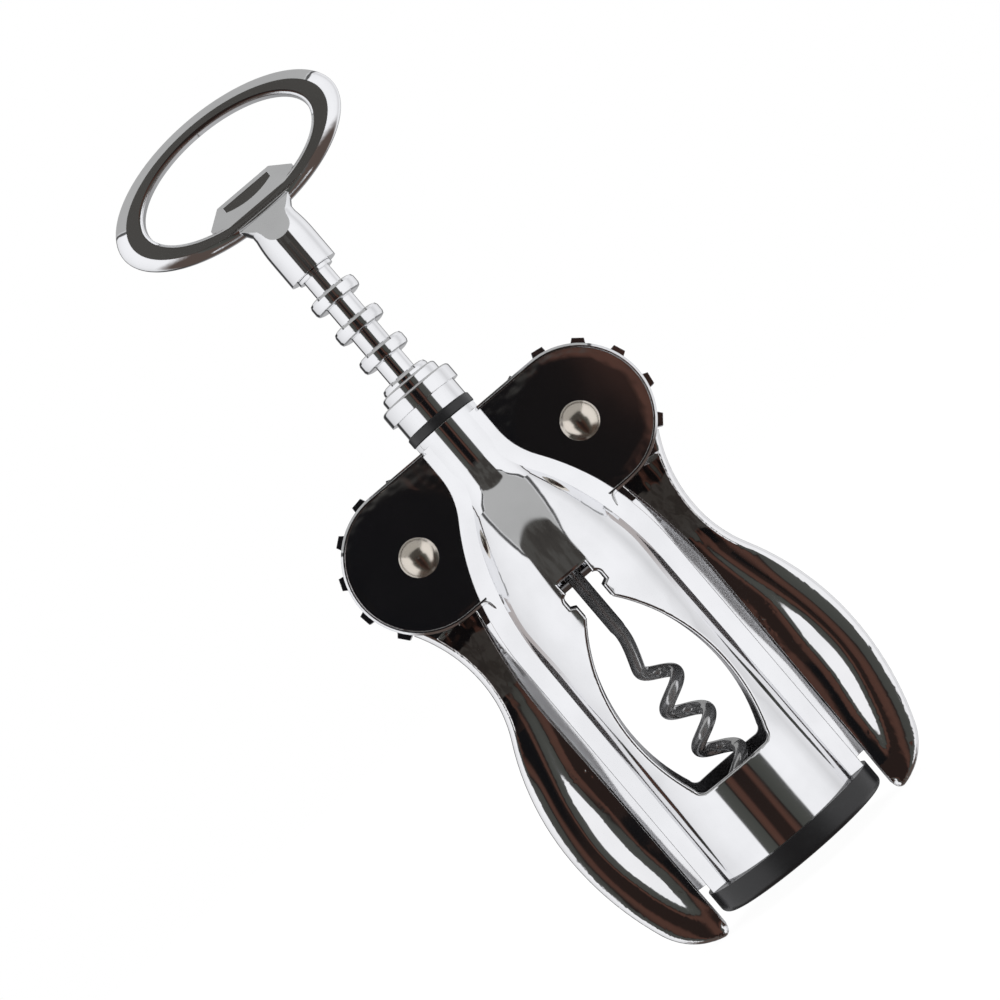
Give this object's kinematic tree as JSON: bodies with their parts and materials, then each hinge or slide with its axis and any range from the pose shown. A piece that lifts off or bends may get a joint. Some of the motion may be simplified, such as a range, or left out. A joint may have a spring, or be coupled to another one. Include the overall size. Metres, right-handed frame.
{
  "type": "wing corkscrew",
  "caption": "Wing corkscrew: geared side levers on a bell body lift a ringed spindle that carries an oval handle and a worm.",
  "frame": {"origin": "centre of the base ring's underside, where the bottle's mouth enters", "axes": "+Z along the spindle towards the handle, +X to the right wing, +Y to the back"},
  "size_m": [0.0752, 0.0366, 0.1938],
  "materials": {
    "chrome": "polished chrome plate on cast zinc and turned steel",
    "rivet_nickel": "satin nickel",
    "worm_steel": "dark polished steel",
    "black_plastic": "satin black"
  },
  "bodies": {
    "frame": {"bell_body": "chrome", "base_ring": "black_plastic", "neck_washer": "black_plastic", "neck_cap": "chrome", "left_rivet": "rivet_nickel", "right_rivet": "rivet_nickel"},
    "rack": {"rack": "chrome"},
    "spindle": {"handle": "chrome", "worm": "worm_steel"},
    "left_wing": {"left_wing": "chrome"},
    "right_wing": {"right_wing": "chrome"}
  },
  "joints": [
    {"name": "spindle_slide", "type": "slide", "parent": "frame", "child": "rack", "axis": [0, 0, 1], "range_m": [-0.0285, 0]},
    {"name": "spindle_turn", "type": "hinge", "parent": "rack", "child": "spindle", "pos_m": [0, 0, 0.17], "axis": [0, 0, 1], "continuous": true},
    {"name": "left_wing_pivot", "type": "hinge", "parent": "frame", "child": "left_wing", "pos_m": [-0.021, 0, 0.0936], "axis": [0, 1, 0], "range_deg": [0, 114.1]},
    {"name": "right_wing_pivot", "type": "hinge", "parent": "frame", "child": "right_wing", "pos_m": [0.021, 0, 0.0936], "axis": [0, 1, 0], "range_deg": [-114.1, 0]}
  ],
  "couplings": [
    {"joint": "left_wing_pivot", "follows": "spindle_slide", "rad_per_m": -69.813},
    {"joint": "right_wing_pivot", "follows": "spindle_slide", "rad_per_m": 69.813}
  ]
}
